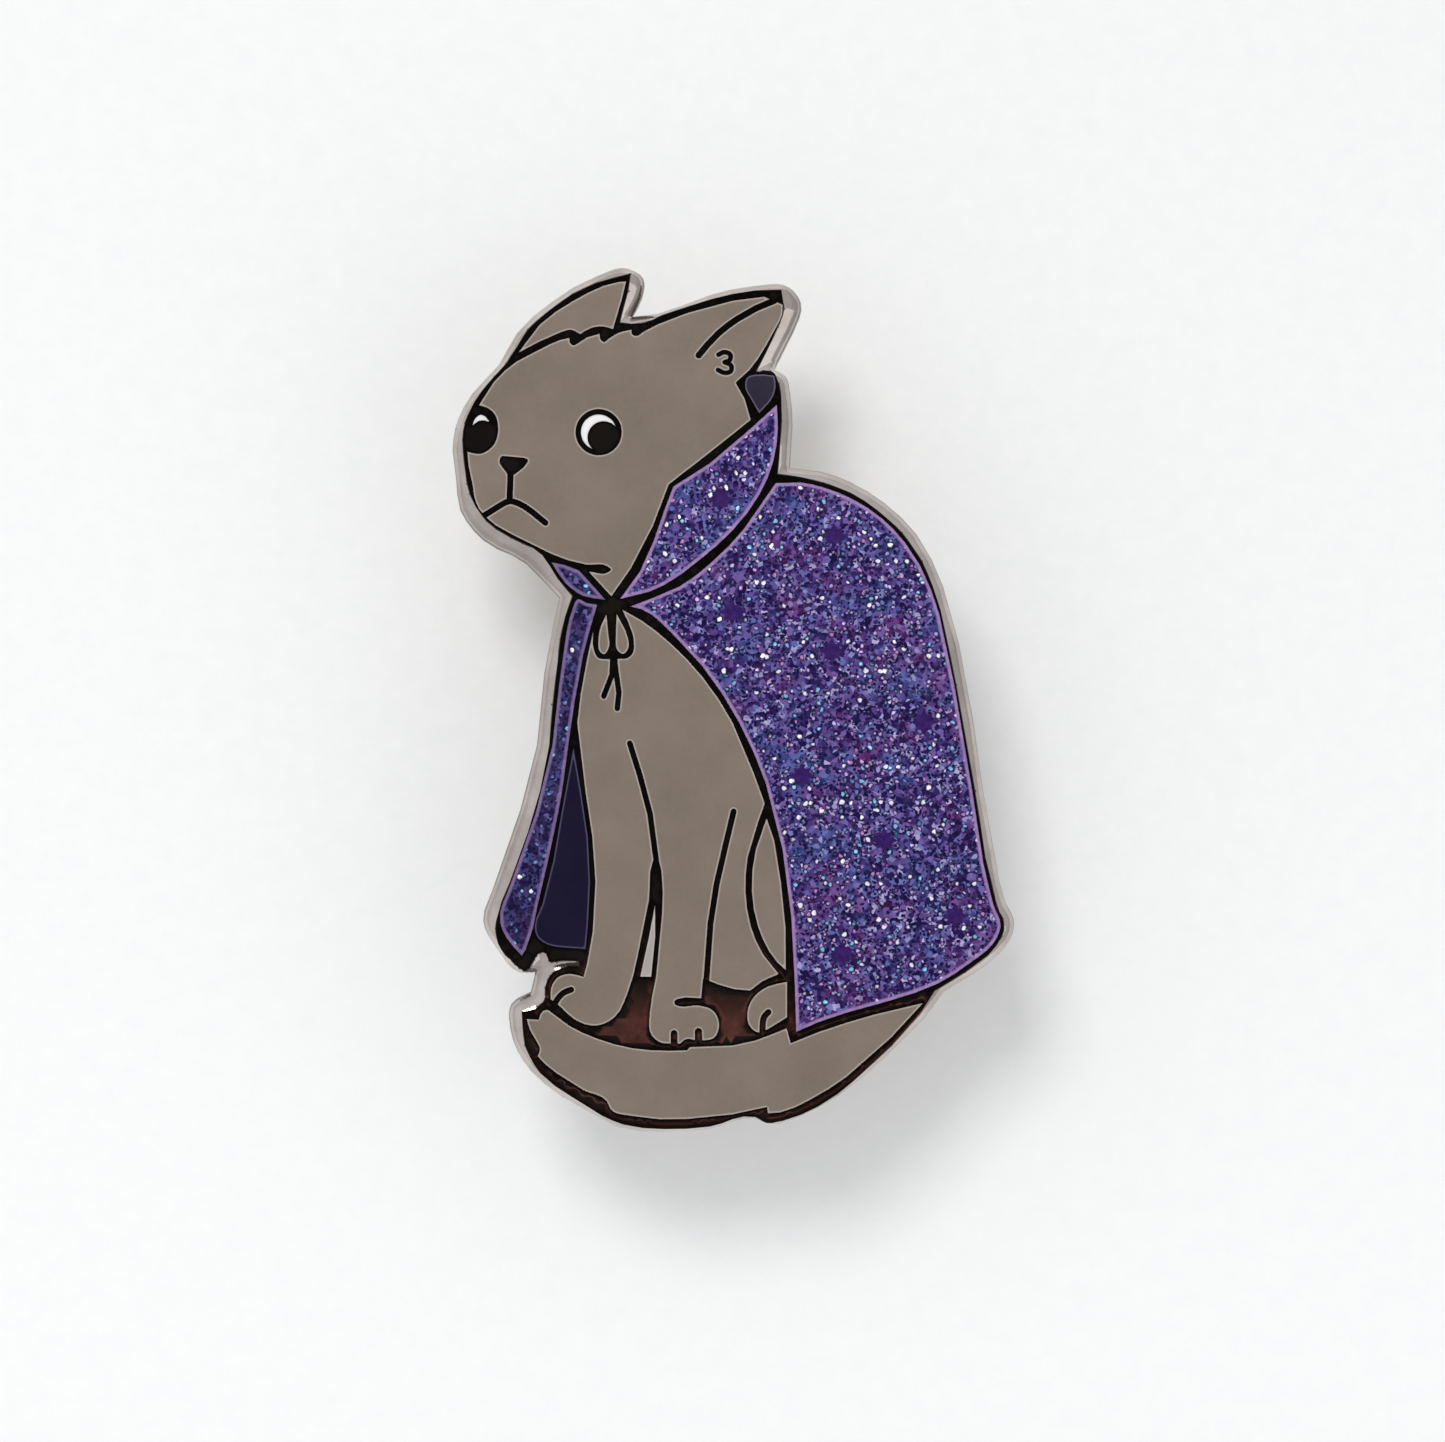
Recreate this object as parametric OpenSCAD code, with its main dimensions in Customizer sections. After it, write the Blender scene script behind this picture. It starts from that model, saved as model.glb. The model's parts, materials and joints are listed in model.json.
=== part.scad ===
// Enamel pin: a caped cat, die struck in black nickel, filled with hard and glitter enamel,
// with two posts and two butterfly clutches.
// Frame: X to the right and Y to the ears on the enamel face, Z out of that face.
// The origin is the centre of the footprint on the surface under the clutches.

/* [Pin] */
// Height of the whole badge, tail to ear tip
pin_h = 38; // [30:1:60]
// Thickness of the struck metal under the enamel
floor_t = 1.0; // [0.8:0.1:1.6]
// Depth of the recesses that the enamel fills
recess_t = 0.6; // [0.4:0.1:0.8]
// How far the polished enamel lies below the metal lines
enamel_sink = 0.02; // [0.01:0.01:0.05]
// Radius of a printed star
star_r = 0.58; // [0.4:0.02:0.8]

/* [Posts] */
// Length of a post from the back of the plate to its tip
post_len = 8; // [7.5:0.5:10]
// Radius of a post's shank
post_r = 0.5; // [0.4:0.05:0.5]
// Radius of the shoulder at a post's root
shoulder_r = 0.7; // [0.7:0.01:0.8]
// Length of the shoulder
shoulder_len = 1.7; // [1.2:0.1:2]

/* [Clutches] */
// Radius of a clutch's face plate
face_r = 5.75; // [5.5:0.05:6]
// Radius of a clutch's shell
shell_r = 4.4; // [4.3:0.05:4.5]
// Height of a clutch
clutch_h = 5.5; // [5.4:0.1:6]

/* [Hidden] */
$fn = 48;

// The drawing is laid out for a badge 38 high and is scaled to pin_h.
draw_scale = pin_h / 38;
upper_at = [-3.2, 8.8] * draw_scale;
lower_at = [1.4, -8.6] * draw_scale;

// Levels, from the surface that the clutches rest on
shell_floor = 0.6;
tip_gap = 0.05;
back_z = shell_floor + tip_gap + post_len;
recess_z = back_z + floor_t;
top_z = recess_z + recess_t;
enamel_z = top_z - enamel_sink;

// Post details
pad_r = 1.5;
pad_t = 0.3;
solder_r = 1.95;
solder_t = 0.16;
tip_len = 1.2;
tip_r = 0.12;
groove_r = post_r - 0.08;
groove_z = 3.9;
groove_h = 0.4;

// Clutch details
face_t = 0.5;
face_hole_r = 0.65;
shell_wall = 0.35;
shell_edge_r = 0.8;
jaw_x = 2.6;
jaw_z = 2.4;
jaw_w = 2.5;
jaw_t = 0.32;
barrel_r = 0.42;
stub_r = 0.25;
stub_bore_r = 0.3;
cheek_y = 1.4;
cheek_t = 0.4;
jaw_notch_r = post_r + 0.05;

// Colours
black_nickel = [0.16, 0.14, 0.14];
fur_grey = [0.53, 0.49, 0.45];
light_fur = [0.68, 0.65, 0.63];
night_blue = [0.13, 0.11, 0.23];
slate_blue = [0.21, 0.19, 0.26];
violet_glitter = [0.36, 0.28, 0.55];
blue_glitter = [0.28, 0.25, 0.55];
star_ink = [0.16, 0.08, 0.30];
polished_brass = [0.78, 0.66, 0.40];

// ---- Smooth outlines -------------------------------------------------------------
// A point [x, y] is smooth; [x, y, 1] is a corner.

function unit(v) = v / norm(v);
function flat(p) = [p[0], p[1]];
function turn(a, b) = acos(max(-1, min(1, unit(a) * unit(b))));

// Direction of travel through b, weighted towards the nearer neighbour
function through(a, b, c) =
    let (u = b - a, v = c - b, m = norm(u), n = norm(v))
    unit(u / m * n + v / n * m);

function hermite(a, b, u, v, t) =
    a * (2 * pow(t, 3) - 3 * t * t + 1) + u * (pow(t, 3) - 2 * t * t + t)
    + b * (3 * t * t - 2 * pow(t, 3)) + v * (pow(t, 3) - t * t);

// Points from a up to, but not including, b, closer together where the curve bends
function span(a, b, u, v) =
    let (d = b - a, steps = 1 + floor((turn(u, d) + turn(d, v)) / 9))
    [for (k = [0:steps - 1]) hermite(a, b, u * norm(d), v * norm(d), k / steps)];

function closed_curve(p) =
    let (n = len(p))
    [for (i = [0:n - 1])
        let (
            a = flat(p[i]), b = flat(p[(i + 1) % n]),
            before = flat(p[(i + n - 1) % n]), after = flat(p[(i + 2) % n]),
            u = len(p[i]) > 2 ? unit(b - a) : through(before, a, b),
            v = len(p[(i + 1) % n]) > 2 ? unit(b - a) : through(a, b, after)
        )
        each span(a, b, u, v)] * draw_scale;

function open_curve(p) =
    let (n = len(p))
    [for (i = [0:n - 2])
        let (
            a = flat(p[i]), b = flat(p[i + 1]),
            u = i == 0 ? unit(b - a) : through(flat(p[i - 1]), a, b),
            v = i == n - 2 ? unit(b - a) : through(a, b, flat(p[i + 2]))
        )
        each span(a, b, u, v),
        flat(p[n - 1])] * draw_scale;

module area(points) polygon(closed_curve(points));

// A line of even width with round ends
module stroke(points, width) {
    c = open_curve(points);
    n = len(c);
    r = width / 2 * draw_scale;
    heading = [
        for (i = [0:n - 1])
            let (d = c[min(i + 1, n - 1)] - c[max(i - 1, 0)]) atan2(d[1], d[0])
    ];
    function edge(i, side) = c[i] + r * [cos(heading[i] + side), sin(heading[i] + side)];
    polygon([
        for (i = [0:n - 1]) edge(i, 90),
        for (side = [60:-30:-60]) edge(n - 1, side),
        for (i = [n - 1:-1:0]) edge(i, -90),
        for (side = [-120:-30:-240]) edge(0, side)
    ]);
}

// ---- The drawing: outlines ------------------------------------------------------------

silhouette = [
    [-12.35, 11.0], [-12.1, 12.4], [-11.5, 13.5], [-10.3, 14.8], [-9.5, 16.2], [-8, 17.55], [-6, 18.7],
    [-4.6, 19.03], [-3.95, 18.6], [-4.0, 17.75], [-4.43, 16.9, 1], [-3.3, 17.05], [-1, 17.87],
    [1, 18.28], [2.5, 18.2], [3.02, 17.5], [2.7, 16.27], [1.85, 14.58, 1], [2.33, 14.29], [2.55, 13.5],
    [2.65, 12.1], [2.54, 10.24, 1], [3.8, 10.1], [5.2, 9.62], [6.7, 8.7], [8.13, 7.3], [9.3, 5],
    [10, 2.5], [10.63, -0.93], [11.06, -4], [11.6, -7], [12.05, -8.95], [12.4, -9.65], [12.36, -10.3],
    [11.77, -11.17], [10.37, -12.22], [9.3, -12.88, 1], [8.47, -14.01], [6.8, -15.69], [4.6, -17.5],
    [3, -18.35], [1.65, -18.7], [0.95, -18.45], [-1, -18.9], [-3, -19.03], [-5, -18.85], [-6.1, -18.3],
    [-7.5, -17.5], [-8.9, -16.35], [-9.8, -14.5], [-9.75, -13.4], [-8.9, -12.88, 1], [-8.7, -12.0, 1],
    [-9.28, -12.04], [-10.4, -10.95], [-11, -9.7], [-10.6, -8.4], [-9.35, -4.8], [-8.63, -2],
    [-8.3, 1.2], [-7.9, 3.35], [-7.65, 4.5, 1], [-8.5, 5.4], [-9.1, 6.0], [-11, 7.05], [-12, 8.35],
    [-12.2, 9.8]
];

top_outline = [
    [-11.87, 11.45], [-11.65, 12.55], [-11, 13.65], [-9.95, 14.8], [-9, 16.3], [-8, 17.2], [-6, 18.37],
    [-4.5, 18.76, 1], [-4.6, 18], [-4.82, 17.2], [-4.97, 16.6, 1], [-3.95, 16.58], [-3.1, 16.93],
    [-1, 17.63], [1, 18.03], [2.15, 18.06, 1], [2.24, 17.5], [2.23, 16.95], [1.99, 16.42],
    [1.55, 15.42], [1.02, 14.45, 1], [1.8, 14.42], [2.04, 13.9], [2.15, 12.3], [2.1, 11.2],
    [1.97, 9.94, 1], [3, 9.82], [4, 9.56], [5.2, 9.13], [6.4, 8.34], [7.45, 7.36], [8.33, 6.1],
    [9.17, 3.93], [9.83, 0.67], [10.66, -4], [11.13, -6.9], [11.61, -9], [11.96, -9.95],
    [11.63, -10.79], [10.23, -11.96], [8.9, -12.8, 1], [8.3, -13.75], [7, -15.2], [5.4, -16.7],
    [3.8, -17.87], [2.2, -18.51], [1.5, -18.61], [1, -18.35], [-1, -18.77], [-3, -18.88],
    [-4.8, -18.68], [-5.76, -18.28], [-7.04, -17.48], [-8.48, -16.4], [-9.12, -15.2], [-9.28, -13.7, 1],
    [-8.7, -13.58], [-8.3, -13.2], [-8.2, -12.48], [-7.9, -12.0], [-7.2, -11.72], [-6.75, -11.7, 1],
    [-6.75, -11.48, 1], [-7.5, -11.46], [-8.05, -11.5], [-8.25, -11.12], [-8.5, -11.15],
    [-8.72, -11.42], [-9.05, -11.88], [-9.76, -11.44], [-10.32, -10.72], [-10.4, -9.7],
    [-9.8, -8], [-9, -5.8], [-8.47, -4], [-8.07, -2], [-7.9, -0.2],
    [-7.7, 1.67], [-7.37, 3.67], [-7.03, 4.58, 1], [-7.7, 5.34], [-8.04, 5.9], [-8.37, 6.37],
    [-9.72, 7.14], [-10.39, 7.53], [-10.8, 7.87], [-11.3, 8.5], [-11.55, 9.08], [-11.75, 9.95],
    [-11.84, 10.9]
];

// ---- The drawing: enamel cells ------------------------------------------------------

far_ear = [
    [-9.43, 15.28, 1], [-8.5, 16.5], [-7, 17.57], [-5, 18.4], [-4.68, 18.43, 1], [-4.9, 17.53],
    [-5.26, 16.33, 1], [-5.74, 16.45], [-6.21, 16.38], [-6.7, 16.11, 1], [-7.1, 16.3], [-7.58, 16.18]
];

head = [
    [-11.16, 12.97, 1], [-10.5, 14], [-9.5, 14.9], [-8.5, 15.42], [-7.6, 15.84], [-7.18, 15.94, 1],
    [-7.14, 15.7], [-7, 15.61], [-6.83, 15.68], [-6.4, 15.96], [-5.85, 16.12, 1], [-5.81, 15.87],
    [-5.67, 15.76], [-5.45, 15.9], [-5.05, 16.15], [-4.45, 16.3, 1], [-4.42, 16.1], [-4.27, 16.02],
    [-3.9, 16.22], [-3.27, 16.54], [-2, 17.03], [0, 17.57], [1.4, 17.75, 1], [2.2, 17.4, 1],
    [2.18, 16.95], [1.93, 16.42], [1.42, 15.5], [0.72, 14.5], [0.13, 13.97, 1], [0.53, 13.27],
    [0.8, 12.33, 1], [-1, 10.9], [-2.81, 9.49, 1], [-3.5, 7.67], [-4.47, 5.8], [-5.33, 4.57, 1],
    [-6.33, 5.66, 1], [-5.47, 5.63], [-5.35, 5.75], [-5.47, 5.87], [-6.45, 5.97], [-7.22, 6.15],
    [-8, 6.45], [-9.72, 7.3], [-10.4, 7.68], [-10.77, 7.98, 1], [-11.14, 8.4], [-11.36, 8.95],
    [-11.43, 9.45], [-11.6, 10.25], [-11.67, 10.93, 1], [-11.13, 10.83], [-10.53, 11.2],
    [-10.31, 11.93], [-10.53, 12.67], [-10.8, 12.87]
];

far_eye = [
    [-11.45, 12.07, 1], [-11.3, 12.42], [-11.07, 12.55], [-10.85, 12.45], [-10.71, 12.25, 1],
    [-10.95, 12.31], [-11.2, 12.27]
];

nose = [
    [-10.24, 10.61], [-10.16, 10.73], [-10, 10.74, 1], [-9.15, 10.66, 1], [-9, 10.57], [-9.06, 10.41],
    [-9.58, 9.93, 1], [-9.9, 9.93, 1]
];

collar_left = [
    [-7.97, 6.07, 1], [-7.4, 5.95], [-6.75, 5.7, 1], [-6.2, 5.1], [-5.6, 4.42, 1], [-6.6, 4.6],
    [-7.33, 5.13]
];

collar_right = [
    [1.95, 13.0, 1], [2, 12], [1.8, 10.53], [1.2, 9.07], [0, 7.47], [-1.5, 6.13], [-3, 5.07],
    [-3.67, 4.77], [-4.95, 4.45, 1], [-4.07, 5.67], [-3.47, 7], [-2.95, 8.5], [-2.6, 9.4, 1],
    [-1, 10.42], [0.8, 11.95]
];

collar_lining = [
    [0.55, 13.9], [0.65, 14.2], [1, 14.33], [1.84, 14.28, 1], [1.9, 13.85], [1.8, 13.4],
    [1.17, 12.62, 1], [0.9, 13.1]
];

cape_right = [
    [-4.5, 4.12, 1], [-3.67, 4.43], [-2.33, 5], [-1, 6], [0.5, 7.53], [1.47, 8.93], [1.9, 9.55, 1],
    [3, 9.58], [4, 9.36], [5.2, 8.89], [6.57, 8], [7.6, 6.92], [8.25, 5.93], [9.09, 3.8], [9.75, 0.7],
    [10.55, -4], [11.04, -7.2], [11.47, -9], [11.8, -9.93], [11.49, -10.68], [10.5, -11.53],
    [9.04, -12.47], [7, -13.2], [5, -13.76], [3.8, -14.16], [2.8, -14.6, 1], [2.74, -12.5],
    [2.59, -9.57], [2.2, -6.56], [1.47, -3.68], [0.3, -1], [-1.33, 1.5], [-2.67, 2.95], [-4, 4.0]
];

cape_left = [
    [-6.83, 4.43], [-6.4, 4.27], [-5.95, 4.2, 1], [-6.23, 3.27], [-6.57, 2], [-6.97, -0.2],
    [-7.2, -1.8], [-7.5, -4], [-7.68, -5], [-8.1, -7], [-8.57, -9], [-9.1, -10.97], [-9.27, -11.25, 1],
    [-9.95, -10.45], [-10.22, -9.8], [-9.73, -8], [-8.67, -5], [-7.93, -2], [-7.63, 0.67], [-7.3, 3],
    [-7, 4.13]
];

cape_lining = [
    [-7, -2.1, 1], [-6.67, -4], [-6.37, -6], [-6.27, -8], [-6.37, -10], [-6.47, -10.95, 1],
    [-7.5, -10.88], [-8.15, -10.75], [-8.6, -10.4], [-8.7, -9.95], [-8.37, -9], [-7.87, -7], [-7.53, -5]
];

// Chest, front legs and belly, down to the toes
body = [
    [-6.13, 3.05, 1], [-6.4, 1.8], [-6.67, 0.33], [-6.83, -1, 1], [-6.47, -4], [-6.17, -6], [-6.03, -8],
    [-6.15, -10.2], [-6.4, -11.6], [-6.56, -12.18, 1], [-7.1, -12.05], [-7.68, -12.2], [-7.98, -12.65],
    [-8, -13.16, 1], [-7.58, -13.48, 1], [-6.96, -14.04], [-6, -14.32], [-5.2, -13.96], [-4.64, -12.96],
    [-4.16, -11.2], [-3.68, -8.8], [-3.47, -6.95], [-3.33, -6.7, 1], [-3.13, -7.5], [-3.1, -9.4],
    [-3.36, -12.16], [-3.64, -13.76], [-3.55, -14.75], [-3.08, -15.09], [-2.7, -15.1, 1],
    [-2.32, -15.12, 1], [-2, -14.9], [-1.68, -14.95, 1], [-1.3, -14.97, 1], [-0.84, -14.88],
    [-0.6, -14.4], [-0.84, -13.68], [-1.48, -13.44], [-2.38, -13.46], [-2.54, -13.38], [-2.54, -13.22],
    [-2.38, -13.14], [-1.38, -13.12, 1], [-1.3, -12.25, 1], [-0.6, -12.52], [0.1, -12.72],
    [0.78, -12.78, 1], [1.32, -12.36], [2.03, -12.05, 1], [1.35, -11.2], [0.8, -9.95], [0.57, -8.4],
    [0.67, -6.9], [1.13, -5.35], [1.42, -4.55, 1], [0.93, -3.2], [0, -0.98], [-1.33, 1.03],
    [-2.73, 2.5], [-4, 3.5], [-4.85, 3.98, 1], [-4.4, 2.93], [-4.33, 2.4], [-4.41, 2.03], [-4.65, 1.84],
    [-5, 1.82, 1], [-5.5, 1.8, 1], [-5.9, 1.85], [-6.1, 2.2]
];

leg_gap = [
    [-3.41, -9, 1], [-3.67, -10.4], [-4.06, -12.17, 1], [-3.58, -12.17, 1], [-3.4, -10.4]
];

haunch = [
    [1.5, -5.2, 1], [1.03, -6.56], [0.85, -8.37], [1.13, -9.98], [1.96, -11.52], [2.34, -11.88, 1],
    [2.33, -10], [2.13, -8.03], [1.83, -6.16]
];

hind_paw = [
    [2.4, -12.4, 1], [1.56, -12.6], [0.95, -13.05], [0.66, -13.72], [0.8, -14.4], [1.12, -14.62],
    [1.6, -14.45], [2.4, -13.96, 1]
];

tail = [
    [-8.4, -13.75], [-8.2, -13.63], [-7.9, -13.8], [-7.2, -14.32], [-6, -14.88], [-4.4, -15.32],
    [-2.8, -15.43], [-2, -15.41, 1], [-1.88, -15.27, 1], [0, -15.2], [1, -14.98], [1.8, -14.68],
    [2.38, -14.44, 1], [2.56, -15.1, 1], [3.8, -14.6], [5, -14.2], [6.2, -13.85], [8.38, -13.33, 1],
    [7, -14.83], [5, -16.59], [3.4, -17.59], [2.1, -18.14], [1.56, -18.18, 1], [1.52, -17.9, 1],
    [0, -18.23], [-2, -18.43], [-4.4, -18.3], [-5.36, -18.0], [-5.52, -17.66], [-6.56, -17.16],
    [-7.76, -16.4], [-8.24, -16.02], [-8.58, -15.66, 1], [-8.47, -15.4], [-8.63, -15.0], [-8.92, -14.5],
    [-9.06, -14.03, 1], [-8.53, -14.07, 1]
];

bow_left = [
    [-5.55, 3.78, 1], [-5.78, 3.28], [-5.9, 2.6], [-5.84, 2.16], [-5.68, 2.02], [-5.46, 2.27],
    [-5.47, 2.93]
];

bow_right = [
    [-5.1, 3.8, 1], [-4.88, 3.38], [-4.6, 2.72], [-4.6, 2.26], [-4.81, 2.04], [-5.06, 2.2],
    [-5.14, 2.66]
];

// ---- The drawing: lines that stand free inside a cell, [points, width] ----------------------

face_lines = [
    [[[-9.77, 9.9], [-9.81, 8.8]], 0.27],
    [[[-11.2, 7.95], [-10.33, 8.5], [-9.8, 8.75], [-9.4, 8.65], [-8.87, 8.32], [-8.23, 7.8]], 0.265],
    [[[-1.49, 15.17], [-1.1, 15.64], [-0.65, 16.11], [0.19, 16.76], [1.03, 17.24], [1.85, 17.58]], 0.28],
    [[[-0.62, 15.2], [-0.37, 15.31], [-0.1, 15.19], [-0.12, 14.97], [-0.35, 14.87]], 0.21],
    [[[-0.31, 14.86], [-0.07, 14.73], [-0.06, 14.5], [-0.32, 14.4], [-0.64, 14.53]], 0.21]
];

body_lines = [
    [[[-7.1, -12.74], [-7.44, -12.88], [-7.68, -13.12], [-7.95, -13.6]], 0.26],
    [[[-4.52, -1.9], [-4.07, -3.33], [-3.63, -5], [-3.35, -7.1]], 0.25],
    [[[0.05, -4.9], [-0.3, -6.36], [-0.7, -8.1], [-0.97, -9.84], [-1.2, -13]], 0.26],
    [[[-2.57, -15.4], [-2.57, -14.66]], 0.3],
    [[[-1.49, -15.3], [-1.5, -14.58]], 0.32],
    [[[-5.3, 2.4], [-5.31, 1.1], [-5.67, 0.17]], 0.24],
    [[[-5.25, 2.4], [-5.12, 1.2], [-5, 0.33], [-5.07, -0.37]], 0.24],
    [[[-5.24, 1.9], [-5.22, 1.25]], 0.26]
];

paw_lines = [[[[1.33, -14.85], [1.33, -14.2], [1.4, -13.93], [1.58, -13.73]], 0.27]];

near_eye_at = [-5.89, 11.79];
near_eye_ring_r = 1.02;
near_eye_white_r = 0.78;
pupil_at = [-5.67, 11.56];
pupil_r = 0.71;

stars = [
    [-0.55, 8.84], [4.47, 7.22], [-0.02, 3.87], [4.38, 2.16], [8.43, -0.97], [3.06, -3.34],
    [6.67, -6.16], [9.79, -9.5], [4.82, -11.18]
];

// ---- Flat shapes of the cells ---------------------------------------------------------

module lines(list) for (l = list) stroke(l[0], l[1]);

module head_cell() difference() {
    area(head);
    area(nose);
    lines(face_lines);
    translate(near_eye_at * draw_scale) circle(near_eye_ring_r * draw_scale);
}

module near_eye_cell() difference() {
    translate(near_eye_at * draw_scale) circle(near_eye_white_r * draw_scale);
    translate(pupil_at * draw_scale) circle(pupil_r * draw_scale);
}

module body_cell() difference() {
    area(body);
    lines(body_lines);
}

module hind_paw_cell() difference() {
    area(hind_paw);
    lines(paw_lines);
}

module star(points = 8) polygon([
    for (i = [0:2 * points - 1])
        let (r = i % 2 == 1 ? 0.6 : i % 4 == 0 ? 1 : 0.85)
        r * star_r * draw_scale * [cos(i * 180 / points), sin(i * 180 / points)]
]);

// Enamel from the floor of its recess to the polished face
module enamel(colour)
    color(colour) translate([0, 0, recess_z]) linear_extrude(recess_t - enamel_sink) children();

// ---- The badge -------------------------------------------------------------------

module base_plate() color(black_nickel) {
    translate([0, 0, back_z]) linear_extrude(floor_t) area(silhouette);
    translate([0, 0, recess_z]) linear_extrude(recess_t) difference() {
        area(top_outline);
        area(far_ear);
        head_cell();
        near_eye_cell();
        for (cell = [far_eye, collar_left, collar_right, collar_lining, cape_left, cape_right,
                     cape_lining, leg_gap, haunch, tail, bow_left, bow_right]) area(cell);
        body_cell();
        hind_paw_cell();
    }
}

module head_enamel() enamel(fur_grey) head_cell();
module far_ear_enamel() enamel(fur_grey) area(far_ear);
module near_eye_white() enamel("white") near_eye_cell();
module far_eye_white() enamel("white") area(far_eye);
module collar_left_glitter() enamel(blue_glitter) area(collar_left);
module collar_right_glitter() enamel(violet_glitter) area(collar_right);
module collar_lining_enamel() enamel(slate_blue) area(collar_lining);
module cape_left_glitter() enamel(blue_glitter) area(cape_left);
module cape_right_glitter() enamel(violet_glitter) area(cape_right);
module cape_lining_enamel() enamel(night_blue) area(cape_lining);
module body_enamel() enamel(fur_grey) body_cell();
module leg_gap_enamel() enamel(light_fur) area(leg_gap);
module haunch_enamel() enamel(fur_grey) area(haunch);
module hind_paw_enamel() enamel(fur_grey) hind_paw_cell();
module tail_enamel() enamel(fur_grey) area(tail);
module bow_left_enamel() enamel(fur_grey) area(bow_left);
module bow_right_enamel() enamel(fur_grey) area(bow_right);

// Stars printed on the glitter, as thick as the enamel is sunk
module star_print() color(star_ink) translate([0, 0, enamel_z]) linear_extrude(enamel_sink)
    for (at = stars) translate(at * draw_scale) star();

// ---- Posts --------------------------------------------------------------------

// Pad, shoulder, grooved shank and point, turned about the post's own axis
module post() color(black_nickel) rotate_extrude() polygon([
    [0, back_z], [pad_r, back_z], [pad_r, back_z - pad_t], [shoulder_r, back_z - pad_t],
    [shoulder_r, back_z - pad_t - shoulder_len], [post_r, back_z - pad_t - shoulder_len - 0.2],
    [post_r, groove_z + groove_h], [groove_r, groove_z + groove_h - 0.08], [groove_r, groove_z + 0.08],
    [post_r, groove_z], [post_r, back_z - post_len + tip_len], [tip_r, back_z - post_len + 0.1],
    [0, back_z - post_len]
]);

// Ring of solder where the pad meets the plate
module solder() color("silver") rotate_extrude() polygon([
    [pad_r, back_z], [solder_r, back_z], [pad_r + 0.12, back_z - 0.6 * solder_t],
    [pad_r, back_z - solder_t]
]);

// ---- Butterfly clutches --------------------------------------------------------------

function arc(centre, r, from, to) =
    [for (k = [0:6]) centre + r * [cos(from + k * (to - from) / 6), sin(from + k * (to - from) / 6)]];

// Disc that meets the cloth, with a rounded rim and a countersunk hole
module clutch_face() color(polished_brass) rotate_extrude() polygon([
    [face_hole_r, clutch_h - face_t],
    each arc([face_r - face_t / 2, clutch_h - face_t / 2], face_t / 2, -90, 90),
    [face_hole_r + 0.3, clutch_h], [face_hole_r, clutch_h - 0.2]
]);

// Cup with windows for the two wings, and cheeks that carry the jaws' pivots
module clutch_shell() color(polished_brass) difference() {
    union() {
        rotate_extrude() polygon([
            [0, 0], each arc([shell_r - shell_edge_r, shell_edge_r], shell_edge_r, -90, 0),
            [shell_r, clutch_h - face_t], [shell_r - shell_wall, clutch_h - face_t],
            [shell_r - shell_wall, shell_edge_r], [shell_r - shell_edge_r, shell_floor], [0, shell_floor]
        ]);
        for (side = [-1, 1])
            translate([-jaw_x - 0.7, side * (cheek_y + cheek_t / 2) - cheek_t / 2, shell_floor / 2])
                cube([2 * jaw_x + 1.4, cheek_t, jaw_z + 0.6 - shell_floor / 2]);
    }
    for (side = [-1, 1]) {
        translate([side * shell_r - 1, -jaw_w / 2 - 0.1, jaw_z - 0.85]) cube([2, jaw_w + 0.2, 1.55]);
        translate([side * jaw_x, 0, jaw_z]) rotate([90, 0, 0])
            cylinder(r = stub_bore_r, h = 5, center = true);
    }
}

// Spring arm that hugs the post, its barrel and pivot, and the wing that a finger squeezes
module jaw() color(polished_brass) difference() {
    union() {
        translate([jaw_x, 0, jaw_z]) rotate([90, 0, 0]) {
            cylinder(r = barrel_r, h = jaw_w, center = true);
            cylinder(r = stub_r, h = 2 * (cheek_y + cheek_t), center = true);
        }
        sheet(1.8, [[jaw_x, jaw_z], [1.25, 4.1], [0.12, 4.1], [0.12, 4.1 + jaw_t], [1.45, 4.1 + jaw_t],
            [jaw_x + 0.3, jaw_z + 0.15]]);
        sheet(jaw_w, [[jaw_x, jaw_z - jaw_t / 2], [4.6, jaw_z - jaw_t / 2], [4.9, 2.0], [5.1, 0.95],
            [5.45, 0.95], [5.25, 2.2], [4.85, jaw_z + jaw_t / 2], [jaw_x, jaw_z + jaw_t / 2]]);
        sheet(3.6, [[4.9, 2.0], [5.1, 0.95], [5.45, 0.95], [5.25, 2.2]]);
    }
    cylinder(r = jaw_notch_r, h = clutch_h);
}

// A bent strip: its side view in XZ, w wide along Y
module sheet(w, side_view)
    translate([0, w / 2, 0]) rotate([90, 0, 0]) linear_extrude(w) polygon(side_view);

module upper_post() translate(upper_at) post();
module lower_post() translate(lower_at) post();
module upper_solder() translate(upper_at) solder();
module lower_solder() translate(lower_at) solder();
module upper_clutch_face() translate(upper_at) clutch_face();
module upper_clutch_shell() translate(upper_at) clutch_shell();
module upper_jaw_left() translate(upper_at) mirror([1, 0, 0]) jaw();
module upper_jaw_right() translate(upper_at) jaw();
module lower_clutch_face() translate(lower_at) clutch_face();
module lower_clutch_shell() translate(lower_at) clutch_shell();
module lower_jaw_left() translate(lower_at) mirror([1, 0, 0]) jaw();
module lower_jaw_right() translate(lower_at) jaw();

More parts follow.
